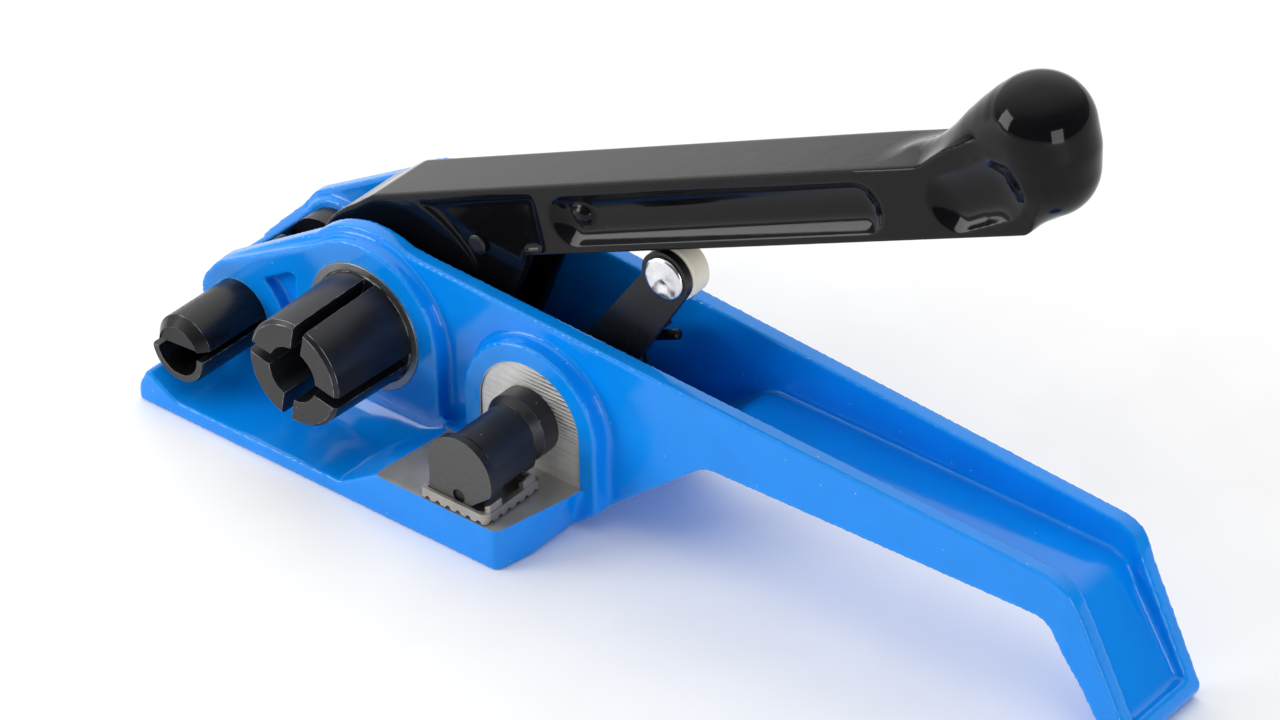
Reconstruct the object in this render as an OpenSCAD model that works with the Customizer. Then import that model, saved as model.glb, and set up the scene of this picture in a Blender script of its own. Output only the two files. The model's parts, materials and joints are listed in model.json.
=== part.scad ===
// Windlass strapping tensioner: cast frame, black lever with a ratchet drive,
// slotted windlass drum, sprung gripper with a roller arm, and a slotted strap cutter.
// Origin: on the foot's underside, below the windlass axis, midway between the walls.
// +X runs towards the handle's tail, -Y towards the open strap side, +Z up.

/* [Frame] */
// Height of the windlass axis above the foot's underside
axis_h = 30; // [29:0.5:32]
// Thickness of the two walls
wall_t = 4.3; // [3.5:0.1:5]
// How far the foot reaches out from the middle plane
foot_reach = 47.3; // [44:0.5:50]
// Thickness of the foot's thin edge
foot_t = 4.2; // [3.5:0.1:5]
// Height of the milled gripper table
table_h = 11.4; // [10:0.1:12]
// Radius of the boss around the windlass
windlass_boss_r = 22.6; // [21:0.2:24]
// Radius of the boss around the gripper
gripper_boss_r = 20; // [18:0.5:21]

/* [Handle] */
// Height of the handle's underside
grip_z = 28.9; // [27:0.1:30]
// Where the handle starts to bend down
bend_x = 197; // [190:1:205]
// Thickness of the trough's floor
floor_t = 4.2; // [3:0.1:5]

/* [Windlass] */
// Radius of the slotted drum at its tip
drum_tip_r = 14; // [13:0.1:14.2]
// Radius of the drum at the wall
drum_base_r = 14.7; // [14.3:0.1:14.9]
// Length of drum outside the boss
drum_l = 25.5; // [22:0.5:28]
// Radius of the drum's bore
drum_bore_r = 7.3; // [6:0.1:8]
// Width of the drum's four slots
slot_w = 3.2; // [2.5:0.1:4]
// Number of ratchet teeth
teeth = 24; // [24]

/* [Lever] */
// Lever's angle above the horizontal at rest
lever_rest = 23.8; // [23.5:0.1:24.5]
// Half of the lever's width
lever_half_w = 10.5; // [10:0.1:10.8]
// Height of the lever's flat top above the windlass axis
lever_top = 28.3; // [27:0.1:29]
// Height of the lever's lower edge above the windlass axis
lever_under = 11.1; // [10.8:0.1:12]
// Radius of the lever's head
head_r = 26.4; // [25:0.1:26.4]
// Distance from the windlass axis to the knob's middle
knob_u = 206.4; // [200:0.2:208]
// Radius of the knob
knob_r = 12.1; // [11:0.1:13]

/* [Gripper] */
// Gripper axis, distance behind the windlass axis
grip_x = 50.8; // [49:0.1:53]
// Gripper axis, height
grip_axis_z = 25; // [24:0.1:26]
// Roller axis, distance behind the gripper axis
arm_dx = 29.6; // [28:0.1:29.8]
// Roller axis, height above the gripper axis
arm_dz = 44; // [42:0.1:44.2]
// Radius of the nylon roller
roller_r = 7; // [6:0.1:7.2]

/* [Cutter] */
// Cutter axis, distance ahead of the windlass axis
cutter_x = 41; // [40:0.1:42]
// Cutter axis, height
cutter_z = 17.5; // [17:0.1:18]
// Outside radius of the slotted cutter sleeve
sleeve_r = 8.6; // [8:0.1:9]
// Length of cutter sleeve outside the wall
sleeve_l = 22.5; // [20:0.5:24]

/* [Hidden] */
$fn = 64;

run = 0.08;          // radial clearance of a running fit
boss_y = -22.5;      // face of the near bosses
far_y = 21;          // face of the far bosses
rim_0 = 53.3;        // height of the rim's line over the windlass axis
rim_slope = 0.0657;  // fall of the rim per millimetre
half_0 = 18.9;       // half-width of the frame at the windlass axis
taper = 0.0185;      // loss of half-width per millimetre
table_x0 = 26;       // front edge of the milled table
foot_rear = 65.5;    // rear edge of the foot at the wall
draft = 0.13;        // plan draft of the foot's two ends
tail_x = 215.2;      // rear end of the tail
tail_half = 14;      // half-width of the tail
well_z = 3;          // floor between the walls
web_x = -50.6;       // the web that joins the walls at the nose
web_z = 23.2;
milled = 0.5;        // depth of the milled recess
arch_top_r = 25;     // the walls arch over the windlass
arch_r = 14.9;       // radius of the milled arch
bush_near_r = 17;
bush_far_r = 12;
journal_r = 14.9;
shaft_r = 9;
shaft_end = 24;
gap_half = 6.5;      // half of the slot between the lever's cheeks
tooth_tip_r = 19.5;
tooth_root_r = 16.8;
pawl_pin_r = 1.8;
pawl_half = 4;
drive_u = 35;        // drive pawl pivot, in the lever's own frame
drive_v = 14.6;
drive_delta = 45;    // angle from the drive pawl's pivot to its tip
hold_x = 26;         // holding pawl pivot
hold_z = 13;
hold_pin_r = 2.5;
neck_r = 7.2;
head_disc_r = 9.6;
collar_r = 8.7;
grip_journal_r = 8;
grip_far_r = 6;
disc_dx = -1.1;      // gripper's end disc, relative to the gripper axis
disc_dz = -2.7;
jaw_pin_dx = -1.5;   // jaw pin, relative to the gripper axis
jaw_pin_dz = -9.1;
flat_a = 39;         // slope of the gripper's trailing flat
jaw_x0 = 38.2;
jaw_x1 = 58.4;
jaw_y0 = -47.2;
jaw_y1 = -27.8;
jaw_z0 = 11.75;
jaw_floor = 13.1;
jaw_rim = 14.5;
hub_r = 11;
spring_r = 8.1;      // middle radius of the gripper spring
spring_wire = 1.3;
leg_slope = 24;      // slope of the spring's long leg
anchor_x = 42;
anchor_z = 12;
core_r = 6.3;        // cutter blade bar
slot_a = 4;          // tilt of the cutter's slot
flange_r = 10.8;     // flange that seats the blade bar against the far wall
paint = [0.05, 0.5, 0.95];
steel = [0.62, 0.62, 0.64];
black = [0.1, 0.1, 0.11];

function half_w(x) = half_0 - taper * x;
function rim_z(x) = rim_0 - rim_slope * x;
function polar(r, a) = [r * cos(a), r * sin(a)];
function wrap(a) = a > 180 ? a - 360 : a < -180 ? a + 360 : a;
// One corner b of an outline, rounded with b's third value as the radius
function corner(a, b, c, n = 6) =
    let (u = [a.x - b.x, a.y - b.y] / norm([a.x - b.x, a.y - b.y]),
         v = [c.x - b.x, c.y - b.y] / norm([c.x - b.x, c.y - b.y]),
         half = acos(u * v) / 2,
         mid = (u + v) / norm(u + v),
         centre = [b.x, b.y] + mid * b.z / sin(half),
         s = [b.x, b.y] + u * b.z / tan(half) - centre,
         e = [b.x, b.y] + v * b.z / tan(half) - centre,
         a0 = atan2(s.y, s.x),
         da = wrap(atan2(e.y, e.x) - a0))
    [for (i = [0 : n]) centre + polar(b.z, a0 + da * i / n)];
function rounded(p) = [for (i = [0 : len(p) - 1])
    each p[i].z > 0 ? corner(p[(i + len(p) - 1) % len(p)], p[i], p[(i + 1) % len(p)])
                    : [[p[i].x, p[i].y]]];
// Outline of a bar that joins two round ends, slightly inside their tangents
function link(a, ra, b, rb) =
    let (d = norm(b - a), t = atan2(b.y - a.y, b.x - a.x), k = acos((ra - rb) / d))
    [a + polar(0.985 * ra, t + k), a + polar(0.985 * ra, t - k),
     b + polar(0.985 * rb, t - k), b + polar(0.985 * rb, t + k)];

module along_y(y0, y1) translate([0, y1, 0]) rotate([90, 0, 0]) linear_extrude(y1 - y0) children();
module at(x, z) translate([x, 0, z]) children();
module rod(r, y0, y1) translate([0, y1, 0]) rotate([90, 0, 0]) cylinder(r = r, h = y1 - y0);
module cone(r_near, r_far, y0, y1)
    translate([0, y1, 0]) rotate([90, 0, 0]) cylinder(r1 = r_far, r2 = r_near, h = y1 - y0);
module tube(ro, ri, y0, y1) along_y(y0, y1) difference() {
    circle(r = ro);
    circle(r = ri);
}
module linear_z(z0, z1) translate([0, 0, z0]) linear_extrude(z1 - z0) children();
module box(x0, x1, y0, y1, z0, z1) translate([x0, y0, z0]) cube([x1 - x0, y1 - y0, z1 - z0]);
module coil(r, wire, turns, y0) for (i = [0 : turns - 1])
    translate([0, y0 + wire + i * 2.1 * wire, 0]) rotate([90, 0, 0])
        rotate_extrude($fn = 48) translate([r, 0]) circle(r = wire, $fn = 24);
module circlip(r, y0, t) along_y(y0, y0 + t) difference() {
    union() {
        circle(r = r + 2.2);
        for (s = [-1, 1]) translate([s * 3, -r - 2]) circle(r = 1.9);
    }
    circle(r = r);
    translate([-1.4, -r - 6]) square([2.8, r + 3]);
}
module at_windlass() at(0, axis_h) children();
module at_lever() at_windlass() rotate([0, -lever_rest, 0]) children();
module at_gripper() at(grip_x, grip_axis_z) children();
module at_roller() at(grip_x + arm_dx, grip_axis_z + arm_dz) children();
module at_cutter() at(-cutter_x, cutter_z) children();

// ---- frame ----

// Side outline of a wall, from the nose to the tail's tip, arched over the windlass
module side_outline(nose) {
    polygon(rounded([
        [nose, 0, 0], [foot_rear - 2.2, 0, 3], [98.4, grip_z, 9],
        [192.3, grip_z, 6], [209.8, 0, 1.5], [213.6, 0, 1.2], [tail_x, 3.6, 3],
        [bend_x, rim_z(bend_x), 9], [14, rim_z(14), 0], [0, axis_h + arch_top_r - 1, 0],
        [-12.2, axis_h + arch_top_r - 4, 0], [nose + 5.2, 28.6, 7], [nose, 22, 7]]));
    translate([0, axis_h]) circle(r = arch_top_r);
}

// Plan outline that gives the walls and the handle their taper
module plan_outline(inset, x0, x1) polygon([
    [x0 + 2, -half_w(x0) + inset], [x0 + 2, 0], [x0, half_w(x0) - inset],
    [bend_x, half_w(bend_x) - inset], [bend_x + 4, tail_half + 0.4 - inset],
    [x1, tail_half - inset], [x1, -tail_half + inset],
    [bend_x + 4, -tail_half - 0.4 + inset], [bend_x, -half_w(bend_x) + inset]]);

module walls() intersection() {
    union() {
        along_y(-25, 0) side_outline(-54);
        along_y(-0.01, 25) side_outline(-56);
    }
    linear_extrude(60) plan_outline(0, -56, tail_x);
}

// The space between the walls: the well under the lever's head, the trough and the tail
module hollow() intersection() {
    along_y(-25, 25) polygon(rounded([
        [web_x, well_z, 2], [58.6, well_z, 3], [95, grip_z + floor_t, 8],
        [194.6, grip_z + floor_t, 6], [211.2, 6.2, 2], [216.5, 8.5, 0],
        [235, 70, 0], [-70, 70, 0], [-70, web_z, 0], [web_x, web_z, 1]]));
    translate([0, 0, -1]) linear_extrude(80) plan_outline(wall_t, -70, 219);
}

// Raised plate around the windlass and the cutter, with a pocket between the two
module boss_front() difference() {
    union() {
        translate([0, axis_h]) circle(r = windlass_boss_r);
        translate([0, 1]) square([windlass_boss_r - 0.02, axis_h - 1]);
        polygon(rounded([[-54, 1, 0], [1, 1, 0], [1, axis_h, 0],
            [-12.2, axis_h + 18.6, 0], [-48.5, 28.6, 7], [-54, 22, 7]]));
    }
    difference() {
        polygon([[-35.5, 28.4], [-24, 35.2], [-18, 35.2], [-18, 15], [-28, 15]]);
        translate([0, axis_h]) circle(r = windlass_boss_r);
        translate([-cutter_x, cutter_z]) circle(r = 15);
    }
}

module boss_gripper() intersection() {
    union() {
        translate([grip_x, grip_axis_z]) circle(r = gripper_boss_r);
        translate([grip_x - gripper_boss_r, 1]) square([2 * gripper_boss_r - 0.3, grip_axis_z - 1]);
    }
    side_outline(-54);
}

// Foot: thin edge, raised nose lip, and the table that the gripper works on
module foot() intersection() {
    along_y(-foot_reach, -16) polygon(rounded([
        [-55, 0, 1.5], [foot_rear - 2.2, 0, 1], [foot_rear + 0.6, table_h, 0],
        [table_x0, table_h, 0], [12.5, foot_t, 3], [-41, foot_t, 6], [-50, 9.8, 1.2]]));
    linear_extrude(20) polygon(rounded([
        [-55, 0, 0], [-55, boss_y, 0], [-53.4, -foot_reach, 1.5],
        [foot_rear - 1.3 * draft * (foot_reach + boss_y), -foot_reach, 2.5],
        [foot_rear + 1, boss_y, 0], [foot_rear + 1, 0, 0]]));
}

// Hollow fillet from the foot's top up to the near wall
module foot_fillet(r = 9) intersection() {
    translate([-53, 0, 0]) rotate([90, 0, 90]) linear_extrude(table_x0 + 56) difference() {
        translate([boss_y - r, foot_t - 1]) square([r + 1, r + 1]);
        translate([boss_y - r, foot_t + r]) circle(r = r);
    }
    along_y(-foot_reach, -16) translate([-53, 0]) square([table_x0 + 52, foot_t + r]);
}

module frame_casting() color(paint) difference() {
    union() {
        difference() {
            union() {
                walls();
                along_y(boss_y, -14) boss_front();
                along_y(boss_y, -14) boss_gripper();
                foot();
                foot_fillet();
            }
            hollow();
        }
        at_windlass() tube(windlass_boss_r - 3, shaft_r + 1, half_0 - wall_t - 0.6, far_y);
        at_gripper() tube(13, grip_far_r - 1, half_0 - wall_t - 1, far_y);
        at_cutter() tube(12.8, core_r - 1, half_0 - wall_t - 1.2, far_y);
    }
    at_windlass() rod(bush_near_r, boss_y - 1, -13);
    at_windlass() rod(bush_far_r, 12, far_y + 1);
    at_gripper() rod(grip_journal_r + run, boss_y - 1, -13);
    at_gripper() rod(grip_far_r + run, 12, far_y + 1);
    at_cutter() rod(sleeve_r + run, boss_y - 2, -13);
    at_cutter() rod(core_r, 12, far_y + 1);
    at_cutter() rod(flange_r + 0.4, -13.3, 13.35);
    at(hold_x, hold_z) rod(hold_pin_r, -17, 22);
    at(anchor_x, anchor_z) rod(1.5, 12, 22);
    // milled arch above the table
    along_y(boss_y - 1, boss_y + milled) difference() {
        union() {
            translate([grip_x, grip_axis_z]) circle(r = arch_r);
            translate([grip_x - arch_r, table_h]) square([2 * arch_r - 0.05, grip_axis_z - table_h]);
        }
        translate([0, table_h - 30]) square([100, 30]);
    }
}

// ---- windlass ----

module windlass_bush_near() color(steel) at_windlass()
    tube(bush_near_r, journal_r + run, boss_y - 0.4, -half_0 + wall_t);
module windlass_bush_far() color(steel) at_windlass()
    tube(bush_far_r, shaft_r + run, half_0 - wall_t - 0.6, far_y);

module windlass_drum() color(black) at_windlass() difference() {
    union() {
        cone(drum_tip_r - 0.9, drum_tip_r, boss_y - drum_l, boss_y - drum_l + 0.9);
        cone(drum_tip_r, drum_base_r, boss_y - drum_l + 0.9, boss_y - 0.4);
        rod(journal_r, boss_y - 0.4, -14.4);
        rod(shaft_r, -14.4, shaft_end);
    }
    rod(drum_bore_r, boss_y - drum_l - 1, boss_y - 1);
    cone(0.5, drum_bore_r, boss_y - 1.01, boss_y + 3);
    rotate([0, 12, 0]) for (a = [0 : 90 : 270]) rotate([0, a, 0])
        box(drum_bore_r - 1.5, 20, boss_y - drum_l - 1, boss_y - 0.6, -slot_w / 2, slot_w / 2);
    along_y(far_y + 1.2, far_y + 2.4) difference() {
        circle(r = 12);
        circle(r = shaft_r - 0.8);
    }
    box(-2, 2, -6.2, 6.2, shaft_r - 2, 12);
}

drive_pin_r = norm([drive_u, drive_v]);
drive_pin_a = atan2(drive_v, drive_u);
tooth_a = lever_rest + drive_pin_a - drive_delta;
pitch = 360 / teeth;
hold_r = norm([hold_x, hold_z - axis_h]);
hold_a = atan2(hold_z - axis_h, hold_x);
hold_tip_a = tooth_a - 5 * pitch;

module ratchet_wheel() color(steel) at_windlass() difference() {
    union() {
        along_y(-5, 5) polygon([for (i = [0 : teeth - 1], k = [0, 1])
            polar(k == 0 ? tooth_tip_r : tooth_root_r, tooth_a + i * pitch + k * 0.8)]);
        rod(12.5, -6.3, 6.3);
    }
    rod(shaft_r + 0.01, -8, 8);
    box(-2, 2, -8, 8, 0, shaft_r + 2.1);
}
module ratchet_key() color(steel) at_windlass() box(-1.98, 1.98, -6.1, 6.1, shaft_r - 1.98, shaft_r + 2);
module windlass_spacer_near() color(steel) at_windlass() tube(13, shaft_r + 0.01, -14.38, -10.85);
module windlass_spacer_far() color(steel) at_windlass() tube(11.5, shaft_r + 0.01, 10.85, half_0 - wall_t - 0.8);
module windlass_washer() color(steel) at_windlass() tube(14, shaft_r + 0.01, far_y + 0.1, far_y + 1.15);
module windlass_circlip() color(steel) at_windlass() circlip(shaft_r - 0.78, far_y + 1.22, 1.15);

// ---- lever ----

module cheek_outline() {
    circle(r = head_r);
    polygon(rounded([[-6, head_r - 0.9, 0], [4.4, lever_top, 3], [178, lever_top, 8],
        [187, lever_top + 3.6, 0], [196.5, lever_top + 5.6, 5], [209, 25.8, 4],
        [210.8, 20, 5], [203, lever_under, 4], [50, lever_under, 0],
        [46.2, 7, 0], [16.9, -19.8, 0], [0, 0, 0]]));
}
// What closes the channel between the cheeks: top plate, nose, roller pad and end
module web_outline() {
    difference() {
        cheek_outline();
        circle(r = head_r - 3.3);
        polygon([[0, 0], [-80, 27.6], [-80, -60], [80, -60], [80, 8], [0, lever_top - 3.3]]);
        polygon(rounded([[0, -30, 0], [0, head_r - 3.4, 0], [12, lever_top - 3.3, 0],
            [190, lever_top - 3.3, 4], [190, -30, 0]]));
    }
    translate([70, lever_under]) square([36, 3]);
}
// Bulb of the knob, rising from the lever's top
module knob() intersection() {
    union() {
        at(knob_u, 31.5) sphere(r = knob_r, $fn = 96);
        at(knob_u - 1.2, 22.6) sphere(r = knob_r - 1, $fn = 96);
        at(knob_u - 1.2, 22.6) rotate([0, 7.7, 0])
            cylinder(r1 = knob_r - 1.06, r2 = knob_r - 0.06, h = 8.9);
        at(knob_u - 16.6, 23) rotate([0, 59.5, 0]) cylinder(r = knob_r - 1.2, h = 18);
    }
    box(180, 230, -lever_half_w, lever_half_w, lever_under, 60);
}
module lever_casting() color(black) at_lever() difference() {
    union() {
        along_y(-lever_half_w, -gap_half) cheek_outline();
        along_y(gap_half, lever_half_w) cheek_outline();
        along_y(-gap_half - 0.01, gap_half + 0.01) web_outline();
        knob();
    }
    rod(11.5, -12, 12);
    at(drive_u, drive_v) rod(pawl_pin_r, -12, 12);
    // long pocket, round pocket below the knob, and the sunk panel behind the head
    for (s = [-1, 1]) scale([1, s, 1]) {
        along_y(-12, 1.8 - lever_half_w) {
            translate([67.6, 19.2]) circle(r = 6.4);
            translate([67.6, 12.8]) square([92, 12.8]);
            translate([159.6, 19.2]) circle(r = 6.4);
            polygon(rounded([[177, 26.2, 4], [177, 13, 4], [200, 13, 6], [210, 21.6, 2],
                [202, 27.4, 4]]));
        }
        along_y(-12, 0.8 - lever_half_w) difference() {
            polygon(rounded([[16, 25.9, 0], [58.6, 25.9, 1.5], [56, 12.6, 0], [50, 12.6, 0],
                [43, -2, 0], [20, -18, 0], [0, 0, 0]]));
            circle(r = 33);
        }
    }
}
module lever_bush_near() color(steel) at_windlass() tube(11.5, shaft_r + run, -10.7, -gap_half);
module lever_bush_far() color(steel) at_windlass() tube(11.5, shaft_r + run, gap_half, 10.7);

// ---- pawls: drawn with the tip's radius along +x, then turned to the tip's angle ----

module pawl_outline(pin_r, delta, boss) {
    p = polar(pin_r, delta);
    translate(p) circle(r = boss);
    polygon(concat([[17.5, 0.8], [22.5, 0.6]],
        [p + polar(boss * 0.97, delta - 60), p + polar(boss * 0.97, delta + 170)],
        [[20.4, 4.9]]));
}
module pawl(pin_r, delta, boss, bore) difference() {
    along_y(-pawl_half, pawl_half) difference() {
        pawl_outline(pin_r, delta, boss);
        circle(r = tooth_tip_r + 0.25 - 2.6);
    }
    rotate([0, -delta, 0]) at(pin_r, 0) rod(bore, -8, 8);
}
module drive_pawl() color(steel) at_windlass() rotate([0, -tooth_a, 0])
    pawl(drive_pin_r, drive_delta, 5, pawl_pin_r + run);
module drive_pawl_pin() color(steel) at_lever() at(drive_u, drive_v) {
    rod(pawl_pin_r, -10.7, 10.7);
    for (y = [-10.95, 10.55]) cone(y < 0 ? 1.6 : 2.6, y < 0 ? 2.6 : 1.6, y, y + 0.4);
}
module drive_pawl_spring() color(steel) at_lever() at(drive_u, drive_v) {
    coil(3, 0.4, 2, 4.3);
    translate([0, 4.8, 3]) rotate([0, 90, 0]) cylinder(r = 0.4, h = 9, $fn = 24);
}
module holding_pawl() color(steel) at_windlass() rotate([0, -hold_tip_a, 0])
    pawl(hold_r, hold_a - hold_tip_a, 5.5, hold_pin_r + run);
module holding_pawl_pin() color(steel) at(hold_x, hold_z) rod(hold_pin_r, -17, 19);
module holding_pawl_spring() color(steel) at(hold_x, hold_z) {
    coil(4.1, 0.5, 3, 4.4);
    translate([0, 5.2, -4.1]) rotate([0, 90, 0]) cylinder(r = 0.5, h = 14, $fn = 24);
}

// ---- gripper ----

module gripper_shaft() color(black) at_gripper() difference() {
    union() {
        at(disc_dx, disc_dz) rod(head_disc_r, -46.1, -43.8);
        along_y(-46.1, -43.8) polygon([[-10.5, -1], [-10.4, -7], [-10.85, -12], [0, -12], [0, -1]]);
        rod(neck_r, -43.9, -26.9);
        at(0, -3) rod(8, -43.9, -29.6);
        cone(neck_r, collar_r, -29, -27);
        rod(collar_r, -27, boss_y + 0.4);
        rod(grip_journal_r, boss_y + 0.35, -13.6);
        rod(7.5, -13.7, 3.2);
        rod(6.4, 3.1, 13.2);
        rod(grip_far_r, 13.1, far_y + 3);
    }
    // flat on the trailing side, sole above the jaw's floor, slot for the jaw's lug
    at(disc_dx, disc_dz) rotate([0, -flat_a, 0]) box(-16, 16, -49, -29.4, -20, -8);
    box(-12, 12, -49, -29.5, -20, 13.85 - grip_axis_z);
    at(jaw_pin_dx, jaw_pin_dz) rod(1.8, -49, -29.5);
    box(-12, 12, -41.1, -33.9, -20, -4.9);
    along_y(far_y + 1.2, far_y + 2.4) difference() {
        circle(r = 9);
        circle(r = grip_far_r - 0.7);
    }
    box(-1.5, 1.5, -6.1, 2.1, 6, 9);
}

// Serrated tray: grooves across the sole, a pocket on top and three lugs
module gripper_jaw() color(steel) difference() {
    union() {
        difference() {
            linear_z(jaw_z0, jaw_rim) polygon(rounded([[jaw_x0, jaw_y0, 1], [jaw_x1, jaw_y0, 2.2],
                [jaw_x1, jaw_y1, 1], [jaw_x0, jaw_y1, 1]]));
            linear_z(jaw_floor, 20) polygon(rounded([[jaw_x0 + 1.4, jaw_y0 + 0.9, 0.6],
                [jaw_x1 - 1.5, jaw_y0 + 0.9, 1.6], [jaw_x1 - 1.5, jaw_y1 - 1.5, 0.6],
                [jaw_x0 + 1.4, jaw_y1 - 1.5, 0.6]]));
        }
        at_gripper() along_y(-40.8, -34.2) {
            translate([jaw_pin_dx, jaw_pin_dz]) circle(r = 3.3);
            translate([jaw_pin_dx - 3.2, jaw_z0 + 0.9 - grip_axis_z]) square([6.4, 2.6]);
        }
        for (y = [-45.4, -33.4]) along_y(y, y + 4.2)
            polygon([[56.6, 13], [jaw_x1 - 0.3, 13], [jaw_x1 - 0.3, 16.6], [56.6, 15.6]]);
    }
    at_gripper() at(jaw_pin_dx, jaw_pin_dz) rod(1.8 + run, -43, -27);
    for (i = [0 : 5]) at(jaw_x0 + 2.3 + 3.1 * i, jaw_z0) rod(0.8, -49, -27);
    for (i = [0 : 5]) translate([jaw_x0 - 1, jaw_y0 + 1.9 + 3.1 * i, jaw_z0])
        rotate([0, 90, 0]) cylinder(r = 0.8, h = 30);
}
module jaw_pin() color(steel) at_gripper() at(jaw_pin_dx, jaw_pin_dz) rod(1.79, -45.6, -29.6);

// Flat arm, a little off centre, with a folded tab that the spring's leg lifts
module arm_outline() {
    roller_at = [arm_dx, arm_dz];
    translate(roller_at) circle(r = 6.6);
    circle(r = hub_r);
    polygon(link([2, 1], 7.4, roller_at + [0.8, -0.6], 5.7));
}
module release_arm() color(black) at_gripper() difference() {
    union() {
        along_y(-8.1, -6.1) arm_outline();
        rod(hub_r, -8.1, 3.1);
        at(12.4, 15.2) rotate([0, -leg_slope, 0]) box(-2.5, 9, -8, 6.2, 1.4, 3.2);
    }
    rod(7.51, -9, 9);
    box(-1.5, 1.5, -9, 9, 0, 9.1);
    at(arm_dx, arm_dz) rod(3, -9, 9);
}
module arm_key() color(steel) at_gripper() box(-1.48, 1.48, -6, 2, 6.02, 9);
module roller() color([0.93, 0.9, 0.8]) at_roller() difference() {
    union() {
        cone(roller_r - 0.5, roller_r, -5.8, -5.3);
        rod(roller_r, -5.3, -0.5);
        cone(roller_r, roller_r - 0.5, -0.5, 0);
    }
    rod(3 + run, -9, 9);
}
module roller_axle() color(steel) at_roller() {
    cone(4.6, 5.5, -9.2, -8.6);
    rod(5.5, -8.6, -8.15);
    rod(3, -8.15, 2);
    rod(4.4, 1.1, 2.2);
}
module roller_washer() color(steel) at_roller() tube(5.4, 3.01, 0.2, 1);
// Torsion spring: the long leg lies under the arm's tab, the short one hooks the pin
module gripper_spring() color(steel) at_gripper() {
    coil(spring_r, spring_wire, 3, 3.3);
    rotate([0, -leg_slope, 0]) translate([0, 3 + spring_wire, spring_r + 0.1])
        rotate([0, 90, 0]) cylinder(r = spring_wire, h = 29.3, $fn = 24);
}
module spring_anchor_pin() color(steel) at(anchor_x, anchor_z) rod(1.5, 6.6, 18.6);
module gripper_washer() color(steel) at_gripper() tube(10, grip_far_r + 0.01, far_y + 0.1, far_y + 1.15);
module gripper_circlip() color(steel) at_gripper() circlip(grip_far_r - 0.68, far_y + 1.22, 1.15);

// ---- cutter ----

module cutter_sleeve() color(black) at_cutter() difference() {
    union() {
        // upper half with a steep bevel at its end, lower half nearly square
        intersection() {
            cone(sleeve_r - 2.6, sleeve_r, boss_y - sleeve_l, boss_y - sleeve_l + 3);
            rotate([0, -slot_a, 0]) box(-12, 12, -50, 0, 0, 12);
        }
        intersection() {
            cone(sleeve_r - 0.5, sleeve_r, boss_y - sleeve_l, boss_y - sleeve_l + 1);
            rotate([0, -slot_a, 0]) box(-12, 12, -50, 0, -12, 0);
        }
        intersection() {
            rod(sleeve_r, boss_y - sleeve_l + 1, boss_y - sleeve_l + 3.1);
            rotate([0, -slot_a, 0]) box(-12, 12, -50, 0, -12, 0);
        }
        rod(sleeve_r, boss_y - sleeve_l + 3, -6);
    }
    rod(core_r + run, -50, 0);
    rotate([0, -slot_a, 0]) box(-12, 12, -50, boss_y - 1.5, -0.4, 1.4);
}
module cutter_blade() color(steel) at_cutter() difference() {
    union() {
        rod(core_r, boss_y - sleeve_l + 0.8, far_y + 1);
        rod(flange_r, 7, 13.3);
    }
    rotate([0, -slot_a, 0]) box(-12, 12, -50, boss_y - 1, -12, 1.6);
    rod(2, 8, far_y + 2);
}
module cutter_arm() color(black) at_cutter() difference() {
    union() {
        rod(10.8, -13, -6.4);
        rotate([0, 12, 0]) along_y(-11, -7) polygon(rounded([[-5, 6, 0], [5, 6, 0], [3, 14.5, 2], [-3, 14.5, 2]]));
    }
    rod(sleeve_r + 0.01, -14, 0);
    at(0, -9) translate([0, -9.7, 0]) cylinder(r = 1.5, h = 12, center = true);
}
module cutter_arm_screw() color(steel) at_cutter() translate([0, -9.7, -12.4]) difference() {
    union() {
        cylinder(r = 1.49, h = 3.7);
        translate([0, 0, -0.9]) cylinder(r = 2.6, h = 2.4);
    }
    translate([0, 0, -1.5]) cylinder(r = 1.5, h = 1.6, $fn = 6);
}
module cutter_spring() color(steel) at_cutter() {
    coil(7.6, 0.6, 5, -5.6);
    translate([0, 1.2, 7.6]) rotate([0, 90, 0]) cylinder(r = 0.6, h = 8, $fn = 24);
}
module cutter_nut() color(steel) at_cutter() {
    translate([0, far_y + 4.2, 0]) rotate([90, 0, 0]) cylinder(r = 7.2, h = 3.1, $fn = 6);
    rod(1.98, 9, far_y + 5.4);
}

frame_casting();
windlass_bush_near();
windlass_bush_far();
windlass_drum();
ratchet_wheel();
ratchet_key();
windlass_spacer_near();
windlass_spacer_far();
windlass_washer();
windlass_circlip();
lever_casting();
lever_bush_near();
lever_bush_far();
drive_pawl();
drive_pawl_pin();
drive_pawl_spring();
holding_pawl();
holding_pawl_pin();
holding_pawl_spring();
gripper_shaft();
gripper_jaw();
jaw_pin();
release_arm();
arm_key();
roller();
roller_axle();
roller_washer();
gripper_spring();
spring_anchor_pin();
gripper_washer();
gripper_circlip();
cutter_sleeve();
cutter_blade();
cutter_arm();
cutter_arm_screw();
cutter_spring();
cutter_nut();
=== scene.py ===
import json
import math

import bmesh
import bpy
import numpy as np
from mathutils import Matrix, Vector
from mathutils.noise import noise as perlin


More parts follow.
